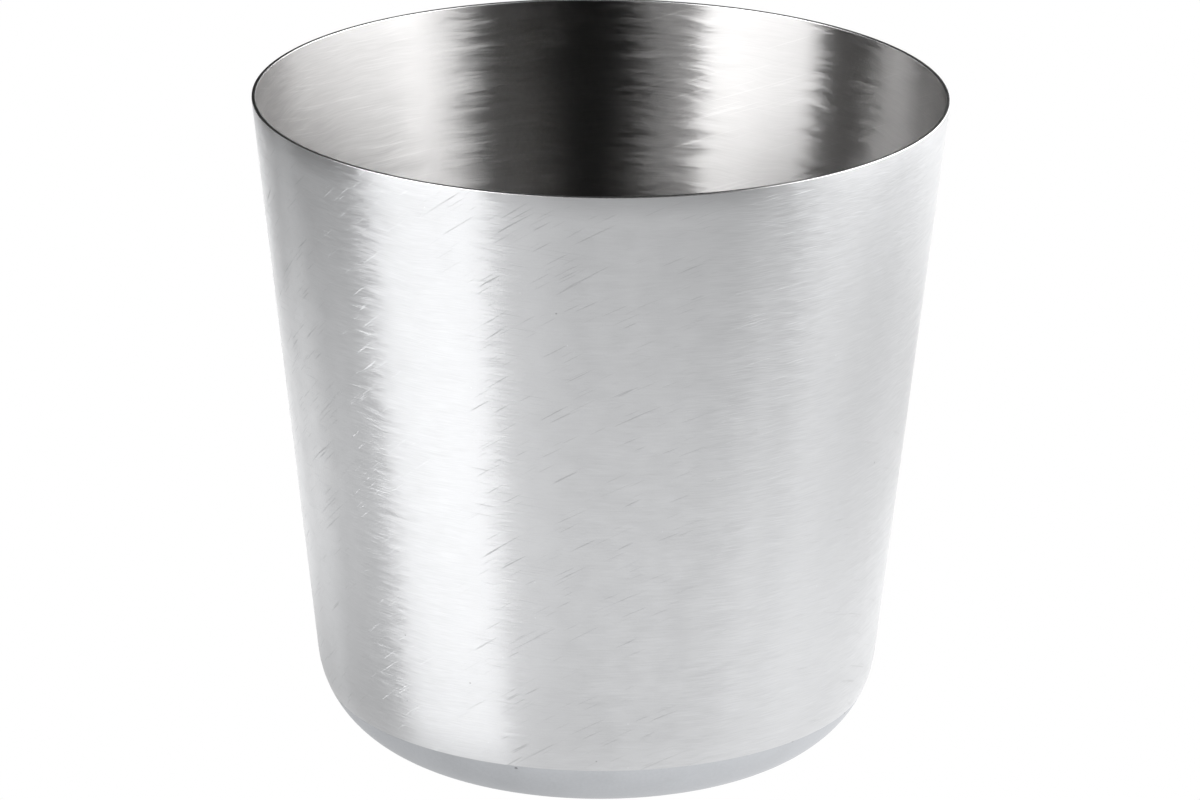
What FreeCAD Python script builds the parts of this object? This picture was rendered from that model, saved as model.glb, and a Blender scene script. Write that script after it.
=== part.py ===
import FreeCAD, Part
import math
import os

import Sketcher

# Deep drawn serving cup, in millimetres.
#
# It is one piece of thin stainless sheet: a flat base, a large round corner and a straight wall that widens
# towards the mouth. The mouth is trimmed square to the axis, and its two edges are deburred.
#
# The frame: +Z is the axis of the cup, towards the mouth. The origin is the middle of the base's underside,
# on the plane that the cup stands on.
#
# The outside is drawn as half of its section, with a sharp corner, and turned into a solid plug. The plug's
# corner is rounded and it is hollowed from the mouth to one thickness of sheet, so that the inside follows
# the outside as it does in drawn sheet: the inside corner is rounder by exactly the sheet's thickness.

# Each size: its name, its value and what it measures.
SIZES = (
    ("rim_diameter", 86.0, "outside width at the mouth, before its edge is deburred"),
    ("cup_height", 83.5, "from the underside of the base to the mouth"),
    ("wall_draft", 6.2, "lean of the wall from the axis, in degrees"),
    ("corner_radius", 12.8, "outside radius between the wall and the base"),
    ("sheet_thickness", 0.5, "the same all over"),
    ("rim_bevel", 0.15, "width of the deburred edges of the mouth, inside and outside"),
)

# The mouth keeps a flat land between its two bevels.
WIDEST_BEVEL = "0.45 * sizes.sheet_thickness"

# How a sketch counts the two ends of a line, and its own origin.
START, END = range(1, 3)
ORIGIN = (-1, START)


def same(first, second):
    """True if two lengths or volumes are equal but for rounding."""
    return math.isclose(first, second, abs_tol=1e-4)


def make_sizes(doc):
    """The spreadsheet that holds the driving sizes."""
    sheet = doc.addObject("Spreadsheet::Sheet", "sizes")
    for row, (alias, value, meaning) in enumerate(SIZES, start=1):
        sheet.set(f"A{row}", alias)
        sheet.set(f"B{row}", str(value))
        sheet.set(f"C{row}", meaning)
        sheet.setAlias(f"B{row}", alias)
    doc.recompute()
    return sheet


def origin_feature(body, role):
    """One of the body's own origin planes or axes."""
    return next(feature for feature in body.Origin.OriginFeatures if feature.Role == role)


def add_outline(sketch, points):
    """Straight lines through the points and back to the first one, each joined to the next."""
    corners = [FreeCAD.Vector(x, y, 0) for x, y in points]
    ends = corners[1:] + corners[:1]
    lines = [sketch.addGeometry(Part.LineSegment(*pair)) for pair in zip(corners, ends)]
    for line, following in zip(lines, lines[1:] + lines[:1]):
        sketch.addConstraint(Sketcher.Constraint("Coincident", line, END, following, START))
    return lines


def bind(sketch, name, expression, kind, *references):
    """Adds a dimension to the sketch and ties it to the spreadsheet."""
    number = sketch.addConstraint(Sketcher.Constraint(kind, *references))
    sketch.renameConstraint(number, name)
    sketch.setExpression(f"Constraints.{name}", expression)


def draw_section(body, sizes):
    """Half of the outside section with a sharp corner: x is the distance from the axis and y the height."""
    slope = math.radians(90 - sizes.wall_draft)
    mouth = sizes.rim_diameter / 2
    height = sizes.cup_height
    heel = mouth - height / math.tan(slope)

    sketch = body.newObject("Sketcher::SketchObject", "outside_section")
    sketch.AttachmentSupport = [(origin_feature(body, "XZ_Plane"), "")]
    sketch.MapMode = "FlatFace"
    base, wall, lid, axis = add_outline(sketch, ((0, 0), (heel, 0), (mouth, height), (0, height)))
    sketch.addConstraint(Sketcher.Constraint("Coincident", base, START, *ORIGIN))
    sketch.addConstraint(Sketcher.Constraint("Horizontal", base))
    sketch.addConstraint(Sketcher.Constraint("Horizontal", lid))
    sketch.addConstraint(Sketcher.Constraint("Vertical", axis))

    bind(sketch, "mouth_radius", "sizes.rim_diameter / 2", "DistanceX", *ORIGIN, wall, END, mouth)
    bind(sketch, "height", "sizes.cup_height", "DistanceY", *ORIGIN, wall, END, height)
    bind(sketch, "wall_slope", "90 - sizes.wall_draft", "Angle", wall, slope)
    return sketch


def turn(body, sketch):
    """The solid plug, turned about the axis of the cup."""
    feature = body.newObject("PartDesign::Revolution", "plug")
    feature.Profile = sketch
    feature.ReferenceAxis = (origin_feature(body, "Z_Axis"), [""])
    feature.Angle = 360
    return feature


def circles_at(shape, height):
    """The names of the circular edges at one height."""
    return [
        f"Edge{number}"
        for number, edge in enumerate(shape.Edges, start=1)
        if isinstance(edge.Curve, Part.Circle) and same(edge.Curve.Center.z, height)
    ]


def round_corner(body, plug):
    """Rounds the plug between its wall and its base."""
    feature = body.newObject("PartDesign::Fillet", "base_corner")
    feature.Base = (plug, circles_at(plug.Shape, 0))
    feature.setExpression("Radius", "sizes.corner_radius")
    return feature


def hollow(body, plug, height):
    """Takes out the inside through the mouth and leaves one thickness of sheet."""
    mouth = next(
        f"Face{number}"
        for number, face in enumerate(plug.Shape.Faces, start=1)
        if same(face.CenterOfMass.z, height)
    )
    feature = body.newObject("PartDesign::Thickness", "sheet")
    feature.Base = (plug, [mouth])
    feature.Mode = "Skin"
    feature.Join = "Arc"
    feature.Reversed = True
    feature.setExpression("Value", "sizes.sheet_thickness")
    return feature


def deburr(body, sheet, height):
    """Bevels both edges of the trimmed mouth."""
    feature = body.newObject("PartDesign::Chamfer", "rim_bevels")
    feature.Base = (sheet, circles_at(sheet.Shape, height))
    feature.setExpression("Size", f"min(sizes.rim_bevel; {WIDEST_BEVEL})")
    return feature


def make_cup(doc, sizes):
    """The cup, as one body. Each feature reads the shape before it, which is made first."""
    body = doc.addObject("PartDesign::Body", "cup")
    body.Label = "cup"
    body.Placement = FreeCAD.Placement()
    plug = turn(body, draw_section(body, sizes))
    doc.recompute()
    rounded = round_corner(body, plug)
    doc.recompute()
    sheet = hollow(body, rounded, sizes.cup_height)
    doc.recompute()
    deburr(body, sheet, sizes.cup_height)
    doc.recompute()
    return body


def check(doc, cup):
    """Stops the build if a feature failed, or if the cup isn't one sound solid within its outside form."""
    for item in doc.Objects:
        if {"Invalid", "Error"} & set(item.State):
            raise RuntimeError(f"{item.Name} failed: {item.State}")
    if cup.Shape.isNull() or not cup.Shape.isValid() or len(cup.Shape.Solids) != 1:
        raise RuntimeError(f"{cup.Label} isn't one valid solid")
    if not same(cup.Shape.cut(doc.getObject("base_corner").Shape).Volume, 0):
        raise RuntimeError(f"{cup.Label} was thickened outwards")


def main():
    doc = FreeCAD.newDocument("drawn_cup")
    cup = make_cup(doc, make_sizes(doc))
    check(doc, cup)
    os.makedirs("parts", exist_ok=True)
    cup.Shape.exportStep(f"parts/{cup.Label}.step")
    print(f"{cup.Label}: {cup.Shape.Volume:.1f} cubic millimetres of sheet")


main()
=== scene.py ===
import math

import bpy
import numpy as np
from mathutils import Matrix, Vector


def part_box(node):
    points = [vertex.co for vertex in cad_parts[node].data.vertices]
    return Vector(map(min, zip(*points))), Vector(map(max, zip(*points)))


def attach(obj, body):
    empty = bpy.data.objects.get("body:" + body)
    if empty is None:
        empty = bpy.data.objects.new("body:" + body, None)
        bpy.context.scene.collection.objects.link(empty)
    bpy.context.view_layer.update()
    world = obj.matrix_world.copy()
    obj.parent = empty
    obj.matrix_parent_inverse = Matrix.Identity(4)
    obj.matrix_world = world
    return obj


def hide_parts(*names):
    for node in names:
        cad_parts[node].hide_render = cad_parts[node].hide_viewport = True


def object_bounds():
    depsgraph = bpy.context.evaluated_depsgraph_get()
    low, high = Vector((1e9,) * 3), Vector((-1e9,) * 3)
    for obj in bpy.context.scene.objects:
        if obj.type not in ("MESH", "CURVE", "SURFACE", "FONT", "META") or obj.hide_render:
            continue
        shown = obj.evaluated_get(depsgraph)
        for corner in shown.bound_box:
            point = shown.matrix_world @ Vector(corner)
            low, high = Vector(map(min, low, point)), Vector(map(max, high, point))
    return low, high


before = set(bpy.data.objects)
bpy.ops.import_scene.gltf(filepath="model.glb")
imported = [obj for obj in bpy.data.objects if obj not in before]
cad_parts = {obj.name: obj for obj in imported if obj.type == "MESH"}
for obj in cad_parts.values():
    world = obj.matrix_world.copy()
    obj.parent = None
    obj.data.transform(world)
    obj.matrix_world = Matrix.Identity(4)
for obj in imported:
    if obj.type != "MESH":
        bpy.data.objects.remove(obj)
cad_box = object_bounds()

# Deep drawn metal cup, in metres.
#
# The sheet is turned here a second time, finer than in the CAD, with the rim's bevels rounded.
# The sizes below repeat the CAD's.

MM = 0.001
WALL_DRAFT = math.radians(6.2)
CORNER_RADIUS = 12.8 * MM
SHEET = 0.5 * MM
RIM_BEVEL = 0.15 * MM

SEGMENTS = 384

# The base's finish ends this far round the corner, below the level where the corner points outward.
FINISH_EDGE = math.radians(25)

# How the metal is polished: the colour of its reflections, and how far the brushing spreads them.
STEEL = (0.6, 0.605, 0.615)
WALL_ROUGHNESS = 0.377
INSIDE_ROUGHNESS = 0.34
BASE_ROUGHNESS = 0.5

# The camera, from the middle of the mouth. Its reach is in mouth radii.
CAMERA_REACH = 20.0
CAMERA_RISE = math.radians(16.5)
CAMERA_SIDE = 0.195 * MM
CAMERA_TILT = math.radians(19.018)
CAMERA_ROLL = math.radians(0.455)
LENS = 209.3

UV_SPAN = 0.275


def arc(centre, radius, start, end, steps):
    """Points of an arc in the section, from one angle to the other."""
    angles = (start + (end - start) * step / steps for step in range(steps + 1))
    return [(centre[0] + radius * math.cos(a), centre[1] + radius * math.sin(a)) for a in angles]


def between(first, last, steps):
    """Points spread evenly between two, without the two themselves."""
    shares = (step / steps for step in range(1, steps))
    return [tuple(a + (b - a) * share for a, b in zip(first, last)) for share in shares]


def cup_section(mouth, height):
    """The rings of the sheet's section, from the middle of the underside to the middle of the inner floor.

    They come as the four finishes: base, wall, lip and inside.
    """
    lean = math.tan(WALL_DRAFT)
    heel = mouth - (CORNER_RADIUS + (height - CORNER_RADIUS) * math.sin(WALL_DRAFT)) / math.cos(WALL_DRAFT)
    centre = (heel, CORNER_RADIUS)
    down = -math.pi / 2
    base_corner = arc(centre, CORNER_RADIUS, down, -FINISH_EDGE, 18)
    wall_corner = arc(centre, CORNER_RADIUS, -FINISH_EDGE, -WALL_DRAFT, 6)[1:]
    inner_corner = arc(centre, CORNER_RADIUS - SHEET, -WALL_DRAFT, down, 24)
    width = SHEET / math.cos(WALL_DRAFT)
    lip_out = (mouth - RIM_BEVEL - RIM_BEVEL * lean, height - RIM_BEVEL)
    lip_in = (mouth - width + RIM_BEVEL, height - RIM_BEVEL)
    outer_lip = arc(lip_out, RIM_BEVEL, 0, math.pi / 2, 5)
    inner_lip = arc(lip_in, RIM_BEVEL, math.pi / 2, math.pi, 5)
    outer_wall = between(wall_corner[-1], outer_lip[0], 24)
    inner_wall = between(inner_lip[-1], inner_corner[0], 24)
    return {
        "base": between((0, 0), base_corner[0], 8) + base_corner,
        "wall": wall_corner + outer_wall + outer_lip[:1],
        "lip": outer_lip[1:] + inner_lip,
        "inside": inner_wall + inner_corner + between(inner_corner[-1], (0, SHEET), 8),
    }


def disc_uv(ring, turn):
    """The UV place of a point of the underside or the inner floor: each is a disc above the strip."""
    radius, z = ring
    angle = 2 * math.pi * turn / SEGMENTS
    middle = 0.36 if z > 0 else 0.12
    return (middle + radius / UV_SPAN * math.sin(angle), 0.87 - radius / UV_SPAN * math.cos(angle))


def turned(name, rings):
    """A closed mesh of rings turned about the axis, with a UV map: one strip, and a disc at each end."""
    turns = np.linspace(0, 2 * math.pi, SEGMENTS, endpoint=False)
    ends = [(0, rings[0][1]), (0, rings[-1][1])]
    points = [(0, 0, ends[0][1])]
    for radius, z in rings:
        points.extend((radius * math.sin(t), -radius * math.cos(t), z) for t in turns)
    points.append((0, 0, ends[1][1]))
    path = np.cumsum([0] + [math.dist(a, b) for a, b in zip(rings, rings[1:])])
    flat = sum(1 for ring in rings if ring[1] == rings[0][1]) - 1
    along = (path - path[flat]) / UV_SPAN
    faces = []
    places = []

    def vertex(ring, turn):
        return 1 + ring * SEGMENTS + turn % SEGMENTS

    for s in range(SEGMENTS):
        faces.append((0, vertex(0, s + 1), vertex(0, s)))
        places += [disc_uv(ends[0], s), disc_uv(rings[0], s + 1), disc_uv(rings[0], s)]
    for ring, (a, b) in enumerate(zip(rings, rings[1:])):
        level = a[1] == b[1] and a[0] < rings[flat + 1][0]
        for s in range(SEGMENTS):
            corners = ((ring, s), (ring, s + 1), (ring + 1, s + 1), (ring + 1, s))
            faces.append(tuple(vertex(*corner) for corner in corners))
            if level:
                places += [disc_uv(rings[i], t) for i, t in corners]
            else:
                places += [(t / SEGMENTS, along[i]) for i, t in corners]
    last = len(rings) - 1
    for s in range(SEGMENTS):
        faces.append((vertex(last, s), vertex(last, s + 1), len(points) - 1))
        places += [disc_uv(rings[last], s), disc_uv(rings[last], s + 1), disc_uv(ends[1], s)]
    mesh = bpy.data.meshes.new(name)
    mesh.from_pydata(points, [], faces)
    layer = mesh.uv_layers.new(name="OFBake")
    layer.data.foreach_set("uv", np.array(places).ravel())
    mesh.shade_smooth()
    return mesh


class Graph:
    """Builds the nodes of one material or world."""

    def __init__(self, owner):
        owner.use_nodes = True
        self.tree = owner.node_tree

    def node(self, kind, inputs=None, **settings):
        """A new node. Each input is set to a value or joined to another node's output."""
        node = self.tree.nodes.new("ShaderNode" + kind)
        for name, value in settings.items():
            setattr(node, name, value)
        for key, value in (inputs or {}).items():
            self.feed(node.inputs[key], value)
        return node

    def feed(self, socket, value):
        if isinstance(value, bpy.types.NodeSocket):
            self.tree.links.new(value, socket)
        else:
            socket.default_value = value

    def math(self, operation, *values):
        return self.node("Math", dict(enumerate(values)), operation=operation).outputs[0]

    def product(self, first, *others):
        for other in others:
            first = self.math("MULTIPLY", first, other)
        return first

    def total(self, first, *others):
        for other in others:
            first = self.math("ADD", first, other)
        return first

    def ramp(self, value, start, end, low=0.0, high=1.0):
        """A smooth step from low to high while the value goes from start to end."""
        inputs = {"Value": value, "From Min": start, "From Max": end, "To Min": low, "To Max": high}
        return self.node("MapRange", inputs, interpolation_type="SMOOTHSTEP").outputs["Result"]

    def noise(self, vector, detail=2.0, scale=1.0):
        inputs = {"Vector": vector, "Scale": scale, "Detail": detail}
        return self.node("TexNoise", inputs).outputs[0]

    def swing(self, value, reach):
        """A noise value turned into one that swings about zero."""
        return self.math("MULTIPLY_ADD", value, 2.0 * reach, -reach)

    def scaled(self, vector, scale):
        return self.node("VectorMath", {0: vector, "Scale": scale}, operation="SCALE").outputs[0]


class Metal(Graph):
    """The drawn steel, with coordinates in millimetres to place its marks by."""

    def __init__(self, name, roughness, anisotropic):
        self.material = bpy.data.materials.new(name)
        super().__init__(self.material)
        self.shader = self.tree.nodes["Principled BSDF"]
        self.shader.inputs["Metallic"].default_value = 1
        self.shader.inputs["Anisotropic"].default_value = anisotropic
        self.shader.inputs["Anisotropic Rotation"].default_value = 0.25
        self.round = self.node("Tangent", direction_type="RADIAL", axis="Z").outputs[0]
        self.feed(self.shader.inputs["Tangent"], self.round)
        place = self.scaled(self.node("TexCoord").outputs["Object"], 1 / MM)
        self.place = place
        self.x, self.y, self.z = self.node("SeparateXYZ", {0: place}).outputs
        radius = self.math("SQRT", self.total(self.product(self.x, self.x), self.product(self.y, self.y)))
        self.climb = self.math("ADD", self.z, radius)
        self.feed(self.shader.inputs["Roughness"], roughness)

    def vector(self, x, y, z):
        return self.node("CombineXYZ", {0: x, 1: y, 2: z}).outputs[0]

    def streaks(self, length, thickness, wave, detail=2.0):
        """Noise drawn out round the cup into streaks, which wander up and down a little."""
        slow = self.swing(self.noise(self.place, 1.0, 0.12), wave)
        across = self.math("DIVIDE", self.math("ADD", self.climb, slow), thickness)
        along = self.scaled(self.place, 1 / length)
        x, y, _ = self.node("SeparateXYZ", {0: along}).outputs
        return self.noise(self.vector(x, y, across), detail)

    def scratches(self, lean, turn, length, thickness, least, most):
        """Sparse thin lines, which lean this far from level where the cup faces the given turn."""
        angles = (-lean, 0, turn)
        level = self.node("VectorRotate", {"Vector": self.place, "Rotation": (0, 0, -turn)},
                          rotation_type="EULER_XYZ").outputs[0]
        leaned = self.node("VectorRotate", {"Vector": level, "Rotation": (0, lean, 0)},
                           rotation_type="EULER_XYZ").outputs[0]
        x, y, z = self.node("SeparateXYZ", {0: leaned}).outputs
        long = self.vector(self.product(x, 1 / length), self.product(y, 1 / length), self.product(z, 1 / thickness))
        return self.ramp(self.noise(long, 1.0), least, most)

    def specks(self, spacing, size, share):
        """Small round spots, in this share of the cells of a scatter."""
        cells = self.node("TexVoronoi", {"Vector": self.place, "Scale": 1 / spacing})
        near = self.ramp(cells.outputs["Distance"], size / spacing, 0.4 * size / spacing)
        chosen = self.node("SeparateColor", {0: cells.outputs["Color"]}).outputs[0]
        return self.math("MULTIPLY", near, self.math("LESS_THAN", chosen, share))

    def tilted(self, amount):
        """The normal, turned round the axis by this much."""
        normal = self.node("NewGeometry").outputs["Normal"]
        aside = self.scaled(self.round, amount)
        added = self.node("VectorMath", {0: normal, 1: aside}, operation="ADD").outputs[0]
        return self.node("VectorMath", {0: added}, operation="NORMALIZE").outputs[0]

    def finish(self, tint, shade, roughness=None, normal=None):
        """Joins up the shader: the tint times the shade is its colour."""
        colour = self.node("RGB").outputs[0]
        colour.default_value = (*tint, 1)
        self.feed(self.shader.inputs["Base Color"], self.scaled(colour, shade))
        if roughness is not None:
            self.feed(self.shader.inputs["Roughness"], roughness)
        if normal is not None:
            self.feed(self.shader.inputs["Normal"], normal)
        return self.material


def wall_steel():
    """The outside of the wall, brushed round and round, with scratches and specks."""
    metal = Metal("brushed_wall", WALL_ROUGHNESS, 1.0)
    fine = metal.streaks(2.5, 0.13, 0.5)
    broad = metal.streaks(9.0, 0.7, 0.8)
    mottle = metal.noise(metal.place, 3.0, 0.35)
    slants = metal.scratches(math.radians(38), math.radians(-52), 6.0, 0.16, 0.66, 0.74)
    slants_up = metal.scratches(math.radians(-12), math.radians(50), 7.0, 0.15, 0.67, 0.75)
    dots = metal.specks(2.6, 0.16, 0.10)
    lights = metal.specks(1.9, 0.13, 0.12)
    shade = metal.total(
        1.0, metal.swing(fine, 0.10), metal.swing(broad, 0.035), metal.swing(mottle, 0.03),
        metal.product(lights, 0.16), metal.product(dots, -0.35),
    )
    roughness = metal.total(WALL_ROUGHNESS, metal.swing(mottle, 0.03), metal.product(slants, 0.05))
    turn = metal.total(
        metal.swing(fine, 0.10), metal.swing(broad, 0.05), metal.product(slants, 0.16), metal.product(slants_up, 0.10)
    )
    return metal.finish(STEEL, shade, roughness, metal.tilted(turn))


def inside_steel():
    """The inside: the same brushing, softer, with long streaks that the drawing left, which are also painted lighter
    as a painted sheen.
    """
    metal = Metal("brushed_inside", INSIDE_ROUGHNESS, 1.0)
    fine = metal.streaks(4.0, 0.2, 1.0)
    broad = metal.streaks(14.0, 1.2, 1.5)
    slants = metal.scratches(math.radians(-24), math.radians(130), 14.0, 0.3, 0.64, 0.74)
    # The slanted streaks also lighten the colour: a painted sheen for the light they catch, on top of their small
    # real tilt.
    shade = metal.total(1.0, metal.swing(fine, 0.08), metal.swing(broad, 0.06), metal.product(slants, 0.08))
    turn = metal.total(metal.swing(fine, 0.05), metal.swing(broad, 0.05), metal.product(slants, 0.02))
    return metal.finish((0.61, 0.603, 0.6), shade, None, metal.tilted(turn))


def base_steel():
    """The base and the lower corner, left as drawn: smoother and cooler, with blotches and nicks at its edge, and
    darker, partly for the drawn finish and partly as painted shade.
    """
    metal = Metal("drawn_base", BASE_ROUGHNESS, 0.0)
    blotches = metal.noise(metal.place, 2.0, 0.16)
    grain = metal.noise(metal.place, 2.0, 2.5)
    nicks = metal.specks(1.7, 0.3, 0.3)
    edge = metal.ramp(metal.z, 6.7, 7.2)
    # The tone of 0.76 darkens the base and lower corner: partly the duller drawn finish, partly painted shade for the
    # shadowed floor reflected under the cup.
    shade = metal.total(
        0.76, metal.swing(blotches, 0.08), metal.swing(grain, 0.05), metal.product(nicks, edge, -0.6)
    )
    roughness = metal.total(BASE_ROUGHNESS, metal.swing(blotches, 0.06))
    return metal.finish((0.585, 0.6, 0.625), shade, roughness)


def lip_steel():
    """The cut edge of the sheet, lightened as a painted highlight along the rim."""
    metal = Metal("cut_lip_painted_highlight", 0.35, 0.0)
    # Its colour of 0.85, far lighter than the steel's, is a painted highlight along the rim.
    return metal.finish((0.85, 0.85, 0.85), metal.total(1.0, metal.swing(metal.noise(metal.place, 2.0, 1.2), 0.2)))


def make_cup():
    low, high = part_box("cup")
    mouth = high.x + RIM_BEVEL * math.tan(WALL_DRAFT)
    section = cup_section(mouth, high.z)
    rings = [ring for part in section.values() for ring in part]
    mesh = turned("cup_sheet", rings)
    finishes = {"base": base_steel(), "wall": wall_steel(), "lip": lip_steel(), "inside": inside_steel()}
    for finish in finishes.values():
        mesh.materials.append(finish)
    bands = [index for index, part in enumerate(section.values()) for _ in part]
    mesh.polygons.foreach_set("material_index", np.repeat(bands + bands[-1:], SEGMENTS))
    cup = bpy.data.objects.new("cup_sheet", mesh)
    bpy.context.scene.collection.objects.link(cup)
    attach(cup, "root")
    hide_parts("cup")


def make_camera():
    low, high = cad_box
    radius = (high[0] - low[0]) / 2
    reach = CAMERA_REACH * radius
    camera = bpy.data.objects.new("camera", bpy.data.cameras.new("camera"))
    bpy.context.scene.collection.objects.link(camera)
    camera.data.lens = LENS
    camera.data.sensor_width = 36
    place = Matrix.Translation(
        (CAMERA_SIDE, -reach * math.cos(CAMERA_RISE), high[2] + reach * math.sin(CAMERA_RISE))
    )
    tilt = Matrix.Rotation(math.pi / 2 - CAMERA_TILT, 4, "X")
    camera.matrix_world = place @ tilt @ Matrix.Rotation(CAMERA_ROLL, 4, "Z")
    bpy.context.scene.camera = camera


# The studio. Its cards are seen in the metal and not by the camera. Each stands on a bearing from the
# cup's axis, in degrees: 0 is towards the camera, and 90 is to the camera's right.

def bearing(angle, distance, z):
    turn = math.radians(angle)
    return (distance * math.sin(turn), -distance * math.cos(turn), z)


def sheet_of_light(name, corners, glow):
    """A flat glowing card. Glow gives its strength from the graph and the card's own two coordinates."""
    mesh = bpy.data.meshes.new(name)
    mesh.from_pydata(corners, [], [(0, 1, 2, 3)])
    uv = mesh.uv_layers.new(name="UVMap")
    uv.data.foreach_set("uv", (0, 0, 1, 0, 1, 1, 0, 1))
    card = bpy.data.objects.new(name, mesh)
    bpy.context.scene.collection.objects.link(card)
    material = bpy.data.materials.new(name)
    graph = Graph(material)
    graph.tree.nodes.clear()
    emission = graph.node("Emission", {"Strength": glow(graph)})
    graph.node("OutputMaterial", {"Surface": emission.outputs[0]})
    mesh.materials.append(material)
    return card


def soft_card(name, corners, strength, left=0, right=0, bottom=0, top=0):
    """A card that fades towards its edges, over these shares of its size."""
    def glow(graph):
        across, up, _ = graph.node("SeparateXYZ", {0: graph.node("TexCoord").outputs["UV"]}).outputs
        value = strength
        for place, start, share in ((across, 0, left), (across, 1, right), (up, 0, bottom), (up, 1, top)):
            if share:
                end = start + share if start == 0 else start - share
                value = graph.math("MULTIPLY", graph.ramp(place, start, end), value)
        return value

    card = sheet_of_light(name, corners, glow)
    card.visible_camera = False
    return card


def standing_card(name, first, last, distance, low, high, strength, **fades):
    """An upright soft card between two bearings."""
    corners = [bearing(first, distance, low), bearing(last, distance, low),
               bearing(last, distance, high), bearing(first, distance, high)]
    return soft_card(name, corners, strength, **fades)


def floor_glow(graph):
    """What the metal sees of the floor, as a glowing sheet: painted pools of light, brightest just round the cup and
    behind it, and a painted contact shadow under the cup.
    """
    place = graph.node("TexCoord").outputs["Object"]
    x, y, _ = graph.node("SeparateXYZ", {0: place}).outputs
    off = graph.node("VectorMath", {0: place, 1: (0.023, -0.005, 0)}, operation="ADD").outputs[0]
    radius = graph.node("VectorMath", {0: off}, operation="LENGTH").outputs["Value"]
    near = graph.node("ValToRGB", {0: graph.math("DIVIDE", radius, 0.3)})
    stops = near.color_ramp.elements
    # The lowest level, nearest the cup, is a painted contact shadow; the peak at 0.116 m is a painted pool of light.
    glow_and_shadow_levels = ((0.035, 0.9), (0.06, 1.46), (0.116, 2.2), (0.16, 1.49), (0.3, 0.58))
    while len(stops) < len(glow_and_shadow_levels):
        stops.new(0.5)
    for stop, (reach, level) in zip(stops, glow_and_shadow_levels):
        stop.position = reach / 0.3
        stop.color = (*([level / 2.3] * 3), 1)
    behind = graph.ramp(y, 0.10, 0.22)
    mixed = graph.node("Mix", {0: behind, 2: near.outputs[0], 3: 1.0}).outputs[0]
    return graph.product(mixed, 2.3, graph.ramp(x, -0.234, -0.165), graph.ramp(x, 0.05, 0.16, 1.0, 0.8))


def make_studio():
    standing_card("left_softbox", -83.5, -32, 0.83, 0.125, 0.66, 6.5, left=0.03, right=0.10, bottom=0.25, top=0.05)
    standing_card("front_fill", -36, -11, 0.78, 0.03, 0.6, 0.5, right=0.4)
    standing_card("left_low_card", -128, -114, 0.7, 0.0, 0.24, 0.86, left=0.2, right=0.2, top=0.15)
    back = [(0.78, 0.7, 0), (-0.5, 0.7, 0), (-0.5, 0.7, 0.103), (0.78, 0.7, 0.103)]
    soft_card("back_low_wall", back, 1.0, left=0.3, right=0.2, top=0.3)

    def right_plane(y, z):
        return (0.118 + (y + 0.064) * 0.09, y, z)

    near, far = -0.12, 0.3
    corners = [right_plane(near, 0.087), right_plane(far, 0.087), right_plane(far, 0.24), right_plane(near, 0.24)]
    soft_card("right_card", corners, 5.6, left=0.27, right=0.75, bottom=0.156, top=0.487)
    strip = [right_plane(-0.08, 0), right_plane(far, 0), right_plane(far, 0.03), right_plane(-0.08, 0.03)]
    soft_card("right_strip", strip, 0.86, left=0.1)
    around = [(-0.7, -0.7, -0.0001), (0.7, -0.7, -0.0001), (0.7, 0.9, -0.0001), (-0.7, 0.9, -0.0001)]
    # A sheet seen only in the metal, glowing with painted pools of light and a painted contact shadow round the cup.
    sheet = sheet_of_light("floor_sheet", around, floor_glow)
    sheet.visible_camera = False
    wide = [(-2, -2, 0), (2, -2, 0), (2, 2, 0), (-2, 2, 0)]
    floor = sheet_of_light("floor", [(x, y, -0.0002) for x, y, _ in wide], lambda graph: 1.0)
    floor.visible_glossy = False
    floor.visible_diffuse = False
    world = bpy.data.worlds.new("studio")
    bpy.context.scene.world = world
    graph = Graph(world)
    seen = graph.node("LightPath").outputs["Is Camera Ray"]
    background = graph.tree.nodes["Background"]
    background.inputs["Color"].default_value = (1, 1, 1, 1)
    graph.feed(background.inputs["Strength"], seen)


make_cup()
make_camera()
make_studio()
bpy.context.scene.view_settings.view_transform = "Standard"
